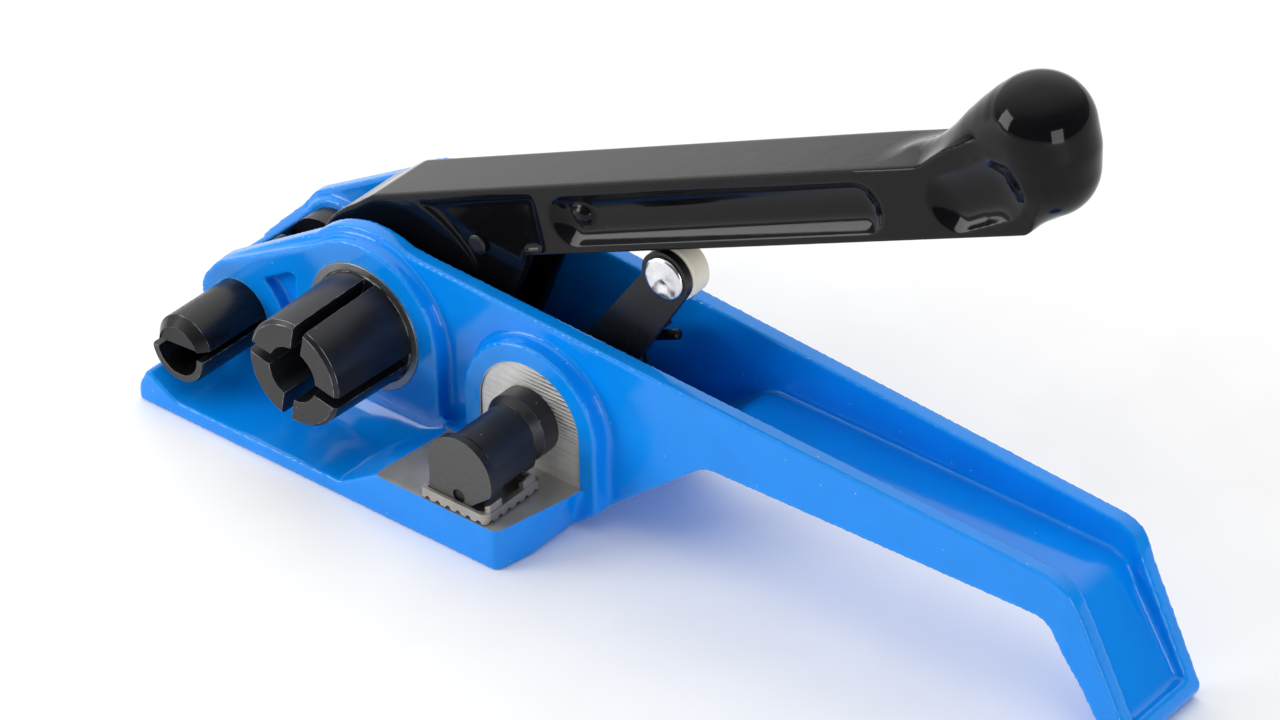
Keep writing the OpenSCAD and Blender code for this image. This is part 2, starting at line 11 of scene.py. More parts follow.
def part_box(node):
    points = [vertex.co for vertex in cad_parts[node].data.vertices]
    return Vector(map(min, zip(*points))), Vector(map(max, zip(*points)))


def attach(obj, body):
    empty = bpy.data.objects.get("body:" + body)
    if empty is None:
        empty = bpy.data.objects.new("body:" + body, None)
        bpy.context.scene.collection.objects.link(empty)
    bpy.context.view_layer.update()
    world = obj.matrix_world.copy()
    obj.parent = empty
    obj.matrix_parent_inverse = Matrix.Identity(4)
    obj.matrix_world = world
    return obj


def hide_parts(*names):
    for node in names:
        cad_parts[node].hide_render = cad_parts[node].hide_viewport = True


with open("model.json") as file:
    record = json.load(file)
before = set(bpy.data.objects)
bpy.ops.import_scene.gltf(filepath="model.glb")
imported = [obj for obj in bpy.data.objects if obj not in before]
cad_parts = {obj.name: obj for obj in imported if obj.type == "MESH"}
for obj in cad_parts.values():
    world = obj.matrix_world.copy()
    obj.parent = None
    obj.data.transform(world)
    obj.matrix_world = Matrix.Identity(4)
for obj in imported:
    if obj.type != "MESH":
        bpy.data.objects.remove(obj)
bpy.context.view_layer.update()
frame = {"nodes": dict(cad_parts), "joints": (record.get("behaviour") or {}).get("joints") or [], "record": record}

# Hand windlass strapping tensioner. Metres throughout; MM turns millimetres into metres.
MM = 0.001
NODES = frame["nodes"]
BODY = {n: b for b, names in frame["record"]["behaviour"]["bodies"].items() for n in names}
JOINT = {j["name"]: Vector(j["pos_m"]) for j in frame["joints"]}

# ---- places taken from the frame ----

WINDLASS = JOINT["lever_swing"]
GRIPPER = JOINT["gripper_turn"]
ROLLER = JOINT["roller_spin"]
CUTTER = JOINT["cutter_turn"]
HOLD = JOINT["holding_pawl_lift"]
DRIVE = JOINT["drive_pawl_lift"]


def low(name):
    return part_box(name)[0]


def high(name):
    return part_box(name)[1]


def radius(name):
    """Half of a turned node's height, which is its largest radius."""
    return (high(name).z - low(name).z) / 2


BOSS_Y = WINDLASS.y + GRIPPER.y  # face of the near bosses
FAR_Y = high("windlass_bush_far").y  # face of the far bosses
LEVER_TILT = math.radians(23.8)  # how far the resting lever rises towards its knob

# ---- camera, fitted to the photograph ----

CAMERA_SPOT = (0.6775, -0.7359, 0.6967)
CAMERA_TURN, CAMERA_TILT, CAMERA_ROLL = 39.7217, 34.6264, -1.0431  # degrees
SENSOR, LENS = 36, 140.625  # millimetres


def place_camera():
    """A long lens in front of the open side, turned towards the nose and looking down."""
    turn, tilt, roll = (math.radians(a) for a in (CAMERA_TURN, CAMERA_TILT, CAMERA_ROLL))
    ahead = Vector((-math.sin(turn) * math.cos(tilt), math.cos(turn) * math.cos(tilt),
                    -math.sin(tilt)))
    right = Vector((math.cos(turn), math.sin(turn), 0))
    up = right.cross(ahead)
    across = right * math.cos(roll) + up * math.sin(roll)
    above = up * math.cos(roll) - right * math.sin(roll)
    data = bpy.data.cameras.new("camera")
    data.sensor_width = SENSOR
    data.lens = LENS
    data.clip_end = 10
    camera = bpy.data.objects.new("camera", data)
    camera.matrix_world = Matrix(
        [[across[i], above[i], -ahead[i], CAMERA_SPOT[i]] for i in range(3)] + [[0, 0, 0, 1]]
    )
    bpy.context.scene.collection.objects.link(camera)
    bpy.context.scene.camera = camera


place_camera()

# ---- mesh tools ----


def read(items, field, width, kind=float):
    """A field of mesh items as an array, one row for each item."""
    out = np.empty(len(items) * width, kind)
    items.foreach_get(field, out)
    return out.reshape(-1, width) if width > 1 else out


def add_object(name, mesh):
    obj = bpy.data.objects.new(name, mesh)
    bpy.context.scene.collection.objects.link(obj)
    return obj


def bake(obj):
    """Applies an object's modifiers to its mesh."""
    bpy.context.view_layer.update()
    deps = bpy.context.evaluated_depsgraph_get()
    mesh = bpy.data.meshes.new_from_object(obj.evaluated_get(deps), depsgraph=deps)
    obj.modifiers.clear()
    obj.data = mesh
    return obj


def modifier(obj, kind, **values):
    m = obj.modifiers.new(kind.lower(), kind)
    for key, value in values.items():
        setattr(m, key, value)
    return m


def shade(obj, angle=35):
    mesh = obj.data
    mesh.polygons.foreach_set("use_smooth", [True] * len(mesh.polygons))
    mesh.set_sharp_from_angle(angle=math.radians(angle))
    mesh.update()
    return obj


def piece(obj, body, *nodes):
    """Hands a new piece over: it rides on a body and stands for its CAD nodes."""
    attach(obj, body)
    if nodes:
        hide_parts(*nodes)
    return obj


def mesh_of(name, verts, faces):
    mesh = bpy.data.meshes.new(name)
    mesh.from_pydata([tuple(v) for v in verts], [], [tuple(f) for f in faces])
    mesh.validate()
    mesh.update()
    return mesh


def prism(outline, y0, y1):
    """A closed mesh: an outline in X and Z, drawn out along Y."""
    n = len(outline)
    corners = zip(outline, outline[1:] + outline[:1])
    if sum(a[0] * b[1] - b[0] * a[1] for a, b in corners) < 0:
        outline = outline[::-1]
    verts = [(x, y0, z) for x, z in outline] + [(x, y1, z) for x, z in outline]
    faces = [list(range(n)), list(range(2 * n - 1, n - 1, -1))]
    faces += [[(i + 1) % n, i, n + i, n + (i + 1) % n] for i in range(n)]
    return mesh_of("prism", verts, faces)


def ring(cx, cz, r, sides=96, start=0.0, sweep=2 * math.pi):
    steps = sides if sweep >= 2 * math.pi else sides + 1
    angles = [start + sweep * i / sides for i in range(steps)]
    return [(cx + r * math.cos(a), cz + r * math.sin(a)) for a in angles]


def lathe(name, centre, profile, sides=64):
    """A turned piece about a line along Y, from (radius, y) pairs; radius 0 closes it."""
    verts, rows = [], []
    for r, y in profile:
        if r <= 0:
            rows.append([len(verts)])
            verts.append((centre.x, y, centre.z))
        else:
            rows.append(list(range(len(verts), len(verts) + sides)))
            verts += [(x, y, z) for x, z in ring(centre.x, centre.z, r, sides)]
    faces = []
    closed = rows[0] != rows[-1] and len(rows[0]) > 1 and len(rows[-1]) > 1
    pairs = list(zip(rows, rows[1:])) + ([(rows[-1], rows[0])] if closed else [])
    for a, b in pairs:
        for i in range(sides):
            j = (i + 1) % sides
            if len(a) == 1:
                faces.append([a[0], b[j], b[i]])
            elif len(b) == 1:
                faces.append([a[i], a[j], b[0]])
            else:
                faces.append([a[i], a[j], b[j], b[i]])
    obj = add_object(name, mesh_of(name, verts, faces))
    outward(obj.data)
    return shade(obj)


def outward(mesh):
    bm = bmesh.new()
    bm.from_mesh(mesh)
    bmesh.ops.recalc_face_normals(bm, faces=bm.faces)
    if bm.calc_volume(signed=True) < 0:
        bmesh.ops.reverse_faces(bm, faces=bm.faces)
    bm.to_mesh(mesh)
    bm.free()


def wire(name, path, r, sides=20, bevel=0.12):
    """A round wire along a path of points, its two ends cut square with a small chamfer."""
    pts = [Vector(p) for p in path]
    end = len(pts) - 1
    ahead = [(pts[min(i + 1, end)] - pts[max(i - 1, 0)]).normalized() for i in range(end + 1)]
    side = ahead[0].orthogonal().normalized()
    rows = []
    for i, p in enumerate(pts):
        side = (side - ahead[i] * side.dot(ahead[i])).normalized()
        rows.append((p, side, ahead[i].cross(side), r))
    cut = r * bevel
    first, last = rows[0], rows[-1]
    rows = [(first[0] - ahead[0] * cut, first[1], first[2], r - cut)] + rows
    rows.append((last[0] + ahead[-1] * cut, last[1], last[2], r - cut))
    verts = []
    for p, u, v, rr in rows:
        for k in range(sides):
            a = 2 * math.pi * k / sides
            verts.append(p + (u * math.cos(a) + v * math.sin(a)) * rr)
    faces = [list(range(sides))[::-1], list(range(len(verts) - sides, len(verts)))]
    for i in range(len(rows) - 1):
        for k in range(sides):
            faces.append([i * sides + k, i * sides + (k + 1) % sides,
                          (i + 1) * sides + (k + 1) % sides, (i + 1) * sides + k])
    obj = add_object(name, mesh_of(name, verts, faces))
    outward(obj.data)
    return shade(obj, 50)


def neighbours(mesh):
    """A function that gives, for each vertex, the mean of the values at its neighbours."""
    a, b = read(mesh.edges, "vertices", 2, np.int32).T
    n = len(mesh.vertices)
    count = np.maximum(np.bincount(a, minlength=n) + np.bincount(b, minlength=n), 1)

    def mean(values):
        return np.stack([(np.bincount(a, values[b, k], n) + np.bincount(b, values[a, k], n)) / count
                         for k in range(values.shape[1])], 1)

    return mean


def relax(mesh, rounds, weight=None, fill=0):
    """Rounds every edge off as a casting's are, then fills hollow corners for fill rounds."""
    share = 0.5 if weight is None else 0.5 * weight[:, None]
    mean = neighbours(mesh)
    co = read(mesh.vertices, "co", 3)
    for _ in range(rounds):
        co += (mean(co) - co) * share
    for i in range(fill):
        if i % 6 == 0:  # the normals hardly change between
            mesh.vertices.foreach_set("co", co.ravel())
            mesh.update()
            up = read(mesh.vertex_normals, "vector", 3)
        step = (mean(co) - co) * share
        rise = np.einsum("ij,ij->i", step, up)
        co += step * (rise > 0)[:, None]
    mesh.vertices.foreach_set("co", co.ravel())
    mesh.update()


def mark_edges(mesh, rounds=4):
    """Stores how far each point stands out from the points around it, for wear and painted highlights along edges.
    """
    mean = neighbours(mesh)
    co = read(mesh.vertices, "co", 3)
    up = read(mesh.vertex_normals, "vector", 3)
    out = np.einsum("ij,ij->i", co - mean(co), up)[:, None]
    for _ in range(rounds):
        out = mean(out)
    top = np.percentile(out, 99.5)
    layer = mesh.attributes.new("edge", "FLOAT", "POINT")
    layer.data.foreach_set("value", np.clip(out[:, 0] / max(top, 1e-12), 0, 1).astype(np.float32))


def join(name, meshes):
    bm = bmesh.new()
    for m in meshes:
        bm.from_mesh(m)
    mesh = bpy.data.meshes.new(name)
    bm.to_mesh(mesh)
    bm.free()
    return mesh


def welded(mesh):
    bm = bmesh.new()
    bm.from_mesh(mesh)
    bmesh.ops.remove_doubles(bm, verts=bm.verts, dist=1e-6)
    out = bpy.data.meshes.new("welded")
    bm.to_mesh(out)
    bm.free()
    return out


def cut(obj, *tools):
    """Takes closed meshes away from a piece."""
    for tool in tools:
        knife = add_object("knife", tool)
        modifier(obj, "BOOLEAN", operation="DIFFERENCE", solver="MANIFOLD", object=knife)
        bake(obj)
        bpy.data.objects.remove(knife)
    return obj


# ---- castings ----


def plug(centre, r, y0, y1):
    return prism(ring(centre.x, centre.z, r, 64), y0, y1)


def capsule(a, b, r0, r1=None, sides=64, rings=14):
    """A bar between two points with round ends, which may differ in radius."""
    a, b = Vector(a), Vector(b)
    r1 = r0 if r1 is None else r1
    ahead = (b - a).normalized() if (b - a).length > 1e-9 else Vector((1, 0, 0))
    side = ahead.orthogonal().normalized()
    other = ahead.cross(side)
    bend = [math.pi / 2 * k / rings for k in range(rings + 1)]
    rows = [(a - ahead * r0 * math.cos(t), r0 * math.sin(t)) for t in bend[1:]]
    rows += [(b + ahead * r1 * math.sin(t), r1 * math.cos(t)) for t in bend[:-1]]
    verts = [a - ahead * r0]
    for spot, r in rows:
        for k in range(sides):
            t = 2 * math.pi * k / sides
            verts.append(spot + (side * math.cos(t) + other * math.sin(t)) * r)
    verts.append(b + ahead * r1)
    last = len(verts) - 1
    faces = []
    for k in range(sides):
        j = (k + 1) % sides
        faces += [[0, 1 + j, 1 + k], [last, last - sides + k, last - sides + j]]
        for row in range(1, last - sides, sides):
            faces.append([row + k, row + j, row + sides + j, row + sides + k])
    mesh = mesh_of("capsule", verts, faces)
    outward(mesh)
    return mesh


ARCH_R = 14.9 * MM  # the milled arch round the gripper
TABLE_Z = 11.4 * MM  # the milled table under it
TABLE_X0 = 26 * MM  # where the table starts
MILLED = 0.5 * MM  # how deep the arch is milled
GRAZE = 0.12 * MM  # a first, shallower and wider pass
STOCK = 1.2 * MM  # what the mill takes off the table
OVERFILL = 0.6 * MM  # how far a filled bore is filled past its wall
PRESS = 0.02 * MM  # how much tighter than its bush a bore is drawn
FLAT = 0.01 * MM  # how far a face's middle may lie off a milled plane


def arch_outline(grow=0.0):
    """Outline of the milled arch: round over the gripper, straight down to the table."""
    r = ARCH_R + grow
    left, right = GRIPPER.x - r, GRIPPER.x + r - 0.05 * MM
    top = ring(GRIPPER.x, GRIPPER.z, r, 64, 0, math.pi)
    return [(right, TABLE_Z)] + top + [(left, TABLE_Z)]


def frame_body():
    """The frame casting: rounded as cast, then bored and milled to sharp edges."""
    cad = welded(NODES["frame_casting"].data)
    co = read(cad.vertices, "co", 3)
    table = abs(co[:, 2] - TABLE_Z) < 0.05 * MM
    table &= (co[:, 1] < BOSS_Y + 2 * MILLED) & (co[:, 0] > TABLE_X0 - MM)
    co[table, 2] += STOCK
    cad.vertices.foreach_set("co", co.ravel())
    cad.update()
    bush, far = radius("windlass_bush_near"), radius("windlass_bush_far")
    sleeve, core = radius("cutter_sleeve"), 6.3 * MM
    depth = -10.4 * MM  # the near bores stop here, inside the well between the walls
    parts = [
        cad,
        plug(WINDLASS, bush + OVERFILL, BOSS_Y, -14.7 * MM),
        plug(WINDLASS, far + OVERFILL, 14.1 * MM, FAR_Y),
        plug(GRIPPER, 8.6 * MM, BOSS_Y, -13.7 * MM),
        plug(GRIPPER, 6.6 * MM, 13.7 * MM, FAR_Y),
        plug(CUTTER, sleeve + OVERFILL, BOSS_Y, -15.4 * MM),
        plug(CUTTER, core + OVERFILL, 13.6 * MM, FAR_Y),
        prism(arch_outline(0.3 * MM), BOSS_Y, BOSS_Y + 2 * MILLED),
    ]
    obj = add_object("frame_body", join("frame_body", parts))
    # turned off the grid's directions, so that no long edge comes out stepped
    skew = Matrix.Rotation(math.radians(17), 4, "Y") @ Matrix.Rotation(math.radians(11), 4, "Z")
    obj.data.transform(skew)
    modifier(obj, "REMESH", mode="VOXEL", voxel_size=0.42 * MM)
    bake(obj)
    obj.data.transform(skew.inverted())
    relax(obj.data, 7, fill=14)
    run = 0.08 * MM  # running fit, on the radius
    cut(obj,
        plug(WINDLASS, bush - PRESS, BOSS_Y - MM, depth),
        plug(WINDLASS, far - PRESS, 11 * MM, FAR_Y + MM),
        plug(GRIPPER, 8 * MM + run, BOSS_Y - MM, depth),
        plug(GRIPPER, 6 * MM + run, 11 * MM, FAR_Y + MM),
        plug(CUTTER, sleeve + run, BOSS_Y - 4 * MM, depth),
        plug(CUTTER, core, 11 * MM, FAR_Y + MM),
        plug(HOLD, 2.5 * MM, -17 * MM, 22 * MM),
        prism(arch_outline(0.2 * MM), BOSS_Y - 2 * MM, BOSS_Y + GRAZE),
        prism(arch_outline(), BOSS_Y - 2 * MM, BOSS_Y + MILLED),
        prism([(TABLE_X0 - 2 * MM, TABLE_Z), (80 * MM, TABLE_Z), (80 * MM, 16 * MM),
               (TABLE_X0 - 2 * MM, 16 * MM)], -60 * MM, BOSS_Y))
    mesh = obj.data
    mark_edges(mesh)
    middle = read(mesh.polygons, "center", 3)
    normal = read(mesh.polygons, "normal", 3)
    deep = middle[:, 1] - BOSS_Y
    arch = (abs(deep - MILLED) < FLAT) | (abs(deep - GRAZE) < FLAT)
    arch &= (normal[:, 1] < -0.99) & (middle[:, 2] > TABLE_Z)
    arch &= abs(middle[:, 0] - GRIPPER.x) < ARCH_R + 0.3 * MM
    table = (abs(middle[:, 2] - TABLE_Z) < FLAT) & (normal[:, 2] > 0.99)
    table &= middle[:, 1] < BOSS_Y + MILLED
    slots = np.zeros(len(mesh.polygons), np.int32)
    slots[arch | table] = 1
    mesh.materials.clear()
    mesh.materials.append(MAT["blue_paint"])
    mesh.materials.append(MAT["milled"])
    mesh.polygons.foreach_set("material_index", slots)
    shade(obj, 32)
    return piece(obj, "frame", "frame_casting")


# The lever's own places are (along, above its eye), in millimetres, with the lever turned level.
# The knob is a chain of balls: along, above, radius. It follows the neck up and curls back down.
KNOB = [
    (170, 18.9, 10.3), (176, 19.7, 10.3), (181, 21, 10.35), (186, 23, 10.4), (190.5, 25.2, 10.6),
    (195, 27.6, 10.9), (199.5, 29.6, 11.2), (203.5, 31, 11.6), (206.7, 31.6, 12.0),
    (206.3, 27, 11.7), (205, 23, 11.4), (201.5, 21.8, 11.2), (197, 21.3, 10.8),
]
LEVER_VOXEL = 0.4 * MM


def lever_body():
    """The lever casting, rounded as cast, its knob blended into the top."""
    turn = Matrix.Rotation(LEVER_TILT, 4, "Y")
    place = Matrix.Translation(WINDLASS)
    level = place @ turn @ place.inverted()  # turns the resting lever level
    cad = welded(NODES["lever_casting"].data)
    cad.transform(level)
    eye = radius("lever_bush_near")
    half = high("lever_casting").y

    def spot(u, v, y=0.0):
        return Vector((u * MM, y, WINDLASS.z + v * MM))

    parts = [cad]
    for s in (-1, 1):
        side = sorted((s * half, s * 7.5 * MM))
        parts.append(plug(WINDLASS, eye + OVERFILL, *sorted((s * half, s * 6.5 * MM))))
        # the pockets are filled, to be scooped out again below
        bottom, top = spot(0, 12.2).z, spot(0, 26.4).z
        parts.append(prism([(60 * MM, bottom), (203 * MM, bottom), (206 * MM, top), (60 * MM, top)],
                           *side))
    for (u0, v0, r0), (u1, v1, r1) in zip(KNOB, KNOB[1:]):
        for k in range(5):
            f = k / 5
            parts.append(capsule(spot(u0 + (u1 - u0) * f, v0 + (v1 - v0) * f),
                                 spot(u0 + (u1 - u0) * (f + 0.2), v0 + (v1 - v0) * (f + 0.2)),
                                 (r0 + (r1 - r0) * f) * MM, (r0 + (r1 - r0) * (f + 0.2)) * MM))
    obj = add_object("lever_body", join("lever_body", parts))
    modifier(obj, "REMESH", mode="VOXEL", voxel_size=LEVER_VOXEL)
    bake(obj)
    for s in (-1, 1):
        # a long scoop, and a rounder one that runs up to the knob
        cut(obj,
            capsule(spot(68.5, 19.2, s * (half + 6.2 * MM)), spot(158, 19.2, s * (half + 6.2 * MM)),
                    8.9 * MM),
            capsule(spot(185, 19.2, s * (half + 8.2 * MM)), spot(198, 21.6, s * (half + 8.0 * MM)),
                    10.7 * MM))
    parts = [obj.data]
    for s in (-1, 1):
        # the small dome at the long scoop's front end
        inside = s * (half - 3.4 * MM)
        parts.append(capsule(spot(70.6, 20.2, inside), spot(71.2, 20.2, inside), 3 * MM))
    obj.data = join("lever_body", parts)
    modifier(obj, "REMESH", mode="VOXEL", voxel_size=LEVER_VOXEL)
    bake(obj)
    mesh = obj.data
    relax(mesh, 4, fill=5)
    co = read(mesh.vertices, "co", 3)
    u, v = co[:, 0] / MM, (co[:, 2] - WINDLASS.z) / MM
    neck = np.clip((u - 160) / 8, 0, 1) * np.clip((v - 26) / 2, 0, 1)
    knob = np.clip((u - 192) / 8, 0, 1)
    relax(mesh, 10, neck)
    relax(mesh, 0, np.maximum(neck, knob), fill=220)
    cut(obj, plug(WINDLASS, eye - PRESS, -12 * MM, 12 * MM))
    obj.data.transform(level.inverted())
    mark_edges(obj.data)
    obj.data.materials.clear()
    obj.data.materials.append(MAT["black_paint"])
    shade(obj, 32)
    return piece(obj, "lever", "lever_casting")


# ---- materials ----

MAT = {}


class Tree:
    """Short notation for a material's nodes."""

    def __init__(self, name):
        self.mat = bpy.data.materials.new(name)
        self.mat.use_nodes = True
        self.nodes = self.mat.node_tree.nodes
        self.shader = self.nodes["Principled BSDF"]
        MAT[name] = self.mat

    def add(self, kind, props=(), **inputs):
        n = self.nodes.new("ShaderNode" + kind)
        for key, value in dict(props).items():
            setattr(n, key, value)
        for key, value in inputs.items():
            numbered = key[0] == "i" and key[1:].isdigit()  # i0, i1: sockets that share a name
            self.put(n.inputs[int(key[1:]) if numbered else key.replace("_", " ")], value)
        return n

    def put(self, socket, value):
        if isinstance(value, bpy.types.NodeSocket):
            self.mat.node_tree.links.new(value, socket)
        elif socket.type == "RGBA" and len(value) == 3:
            socket.default_value = (*value, 1)
        else:
            socket.default_value = value

    def place(self, scale=(1, 1, 1), spot=(0, 0, 0)):
        """The piece's own coordinates, moved so that spot is the centre, then scaled."""
        coords = self.add("TexCoord").outputs["Object"]
        moved = self.add("VectorMath", {"operation": "SUBTRACT"}, i0=coords, i1=tuple(spot))
        return self.add("VectorMath", {"operation": "MULTIPLY"}, i0=moved.outputs[0],
                        i1=tuple(scale)).outputs[0]

    def noise(self, scale, detail=2.0, where=None, rough=0.5):
        return self.add("TexNoise", Vector=where or self.place(), Scale=scale, Detail=detail,
                        Roughness=rough).outputs["Fac"]

    def ramp(self, value, *stops, smooth=False):
        """Maps a value through (position, grey or colour) stops."""
        n = self.add("ValToRGB", Fac=value)
        if smooth:
            n.color_ramp.interpolation = "EASE"
        marks = n.color_ramp.elements
        while len(marks) < len(stops):
            marks.new(1.0)
        for mark, (at, tone) in zip(marks, stops):
            mark.position = at
            mark.color = (tone, tone, tone, 1) if isinstance(tone, (int, float)) else (*tone, 1)
        return n.outputs["Color"]

    def range(self, value, a, b, c, d):
        """Maps a to b onto c to d, and stops there."""
        return self.add("MapRange", {"clamp": True}, Value=value, From_Min=a, From_Max=b,
                        To_Min=c, To_Max=d).outputs[0]

    def mix(self, fac, a, b, blend="MIX"):
        n = self.add("Mix", {"data_type": "RGBA", "blend_type": blend})
        self.put(n.inputs[0], fac)
        self.put(n.inputs[6], a)
        self.put(n.inputs[7], b)
        return n.outputs[2]

    def maths(self, how, a, b=0.0, c=0.0):
        n = self.add("Math", {"operation": how})
        for socket, value in zip(n.inputs, (a, b, c)):
            self.put(socket, value)
        return n.outputs[0]

    def bump(self, height, distance, strength=1.0, over=None):
        n = self.add("Bump", Height=height, Distance=distance, Strength=strength)
        if over is not None:
            self.put(n.inputs["Normal"], over)
        return n.outputs["Normal"]

    def set(self, **values):
        for key, value in values.items():
            self.put(self.shader.inputs[key.replace("_", " ")], value)

    def edge(self):
        return self.add("Attribute", {"attribute_name": "edge"}).outputs["Fac"]


def paint(name, colour, pale, rough, peel, speck, gloss):
    """Gloss enamel on a casting: orange peel, slow waves, dust specks, and the pale colour along edges: a painted
    highlight for the blue paint, worn paint for the black.
    """
    t = Tree(name)
    waves = t.noise(90, 3)
    base = t.mix(t.range(waves, 0.35, 0.65, 0, 1), colour, tuple(c * 0.93 for c in colour))
    # paler along edges: on the blue paint this is a painted highlight along its rims, on the black paint worn
    # edges
    patchy_edge = t.maths("MULTIPLY", t.edge(), t.range(t.noise(900, 2), 0.45, 0.6, 0.2, 1))
    base = t.mix(t.maths("MULTIPLY", patchy_edge, 0.5), base, pale)
    dots = t.add("TexVoronoi", Vector=t.place(), Scale=420).outputs["Distance"]
    rare = t.range(t.noise(260, 1), 0.62, 0.66, 0, 1)
    dust = t.maths("MULTIPLY", t.range(dots, 0.06, 0.1, 1, 0), rare)
    base = t.mix(t.maths("MULTIPLY", dust, speck), base, tuple(min(1, c + 0.35) for c in pale))
    t.set(Base_Color=base, Roughness=t.range(t.noise(200, 4), 0.3, 0.7, rough * 0.8, rough * 1.3),
          Specular_IOR_Level=gloss, IOR=1.5)
    skin = t.bump(t.noise(420, 2), 0.012 * MM, peel)
    skin = t.bump(waves, 0.16 * MM, peel * 0.6, skin)
    t.set(Normal=t.bump(dust, 0.05 * MM, 0.6, skin))
    return t


def metal(name, dark, light, rough, spot=(0, 0, 0), turned=0.0, pits=0.0, wear=0.0, metallic=1.0,
          worn=(0.62, 0.6, 0.57), face=None):
    """Steel: slow and fine colour changes, uneven roughness, turning rings round spot, specks, pits.

    face is (y, tone): what lies before y, the near end of a piece, has that tone. With wear there is
    a second material, for bevels, where the finish is partly worn through.
    """
    for edges in (False, True) if wear else (False,):
        t = Tree(name + "_edge" if edges else name)
        where = t.place(spot=spot)
        blot = t.noise(140, 4, where)
        fine = t.noise(900, 5, where, 0.65)
        tone = t.maths("ADD", t.maths("MULTIPLY", blot, 0.6), t.maths("MULTIPLY", fine, 0.4))
        colour = t.mix(t.range(tone, 0.36, 0.64, 0, 1), dark, light)
        if face:
            limit, plain = face
            y = t.add("SeparateXYZ", Vector=t.place()).outputs["Y"]
            scratch = t.add("TexNoise", Vector=t.place((260, 1, 3800)), Scale=1,
                            Detail=3).outputs["Fac"]
            pale = t.mix(t.range(scratch, 0.35, 0.7, 0, 1), plain, tuple(c * 1.35 for c in plain))
            colour = t.mix(t.range(y, limit - 0.02 * MM, limit + 0.02 * MM, 1, 0), colour, pale)
        dots = t.add("TexVoronoi", Vector=where, Scale=520).outputs["Distance"]
        rare = t.range(t.noise(310, 1), 0.6, 0.64, 0, 0.55)
        speck = t.maths("MULTIPLY", t.range(dots, 0.05, 0.09, 1, 0), rare)
        colour = t.mix(speck, colour, worn)
        if edges:
            patchy_edge = t.range(t.noise(420, 4, where), 0.42, 0.6, 0.04, 1)
            colour = t.mix(t.maths("MULTIPLY", patchy_edge, wear), colour, worn)
        t.set(Base_Color=colour, Metallic=metallic,
              Roughness=t.range(fine, 0.3, 0.7, rough * 0.8, rough * 1.2))
        normal = t.bump(fine, 0.006 * MM, 0.4)
        if turned:
            lines = t.add("TexWave", {"wave_type": "RINGS", "rings_direction": "Y"}, Vector=where,
                          Scale=650, Distortion=0.6, Detail=2.0).outputs["Fac"]
            along = t.add("TexNoise", Vector=t.place((60, 4200, 60), spot), Scale=1,
                          Detail=2).outputs["Fac"]
            normal = t.bump(lines, 0.004 * MM, turned, normal)
            normal = t.bump(along, 0.006 * MM, turned, normal)
        if pits:
            holes = t.range(t.noise(520, 3, where), 0.28, 0.4, 1, 0)
            normal = t.bump(t.maths("MULTIPLY", holes, -1), 0.08 * MM, pits, normal)
        t.set(Normal=normal)


def make_materials():
    # the blue's pale edge colour paints the highlights along its rims; the black's stands for worn edges
    paint("blue_paint", (0.001, 0.25, 0.85), (0.08, 0.56, 1.0), 0.12, 0.22, 0.5, 0.35)
    paint("black_paint", (0.003, 0.003, 0.004), (0.04, 0.042, 0.05), 0.08, 0.25, 0.15, 0.16)
    drum, grip, cutter = (low(name).y + 0.1 * MM
                          for name in ("windlass_drum", "gripper_shaft", "cutter_sleeve"))
    metal("drum_black", (0.0085, 0.009, 0.013), (0.0125, 0.013, 0.018), 0.36, WINDLASS, 0.35,
          wear=0.7, worn=(0.55, 0.56, 0.58), metallic=0.35, face=(drum, (0.021, 0.021, 0.022)))
    metal("grip_black", (0.0095, 0.0098, 0.0125), (0.014, 0.0144, 0.0175), 0.4, GRIPPER, 0.3,
          wear=0.6, worn=(0.5, 0.5, 0.5), metallic=0.35, face=(grip, (0.058, 0.058, 0.056)))
    metal("cut_black", (0.0065, 0.0068, 0.0085), (0.0095, 0.0099, 0.012), 0.3, CUTTER, 0.25,
          wear=0.8, worn=(0.6, 0.6, 0.61), metallic=0.4, face=(cutter, (0.03, 0.03, 0.03)))
    metal("arm_black", (0.0065, 0.0065, 0.0075), (0.0095, 0.0095, 0.0105), 0.34,
          wear=0.5, worn=(0.08, 0.08, 0.08), metallic=0.3)
    metal("black_oxide", (0.008, 0.008, 0.0095), (0.0125, 0.0125, 0.0145), 0.36,
          wear=0.5, worn=(0.15, 0.15, 0.15), metallic=0.4)
    metal("bare_steel", (0.32, 0.295, 0.265), (0.42, 0.395, 0.36), 0.42,
          wear=0.7, worn=(0.75, 0.73, 0.7), metallic=0.75, pits=0.2)
    metal("bush_steel", (0.2, 0.21, 0.22), (0.27, 0.28, 0.29), 0.34, WINDLASS, 0.5, metallic=0.9)
    metal("zinc_steel", (0.55, 0.56, 0.6), (0.86, 0.86, 0.88), 0.2)
    metal("spring_steel", (0.012, 0.012, 0.014), (0.022, 0.022, 0.024), 0.3, metallic=0.6)
    milled()
    nylon()


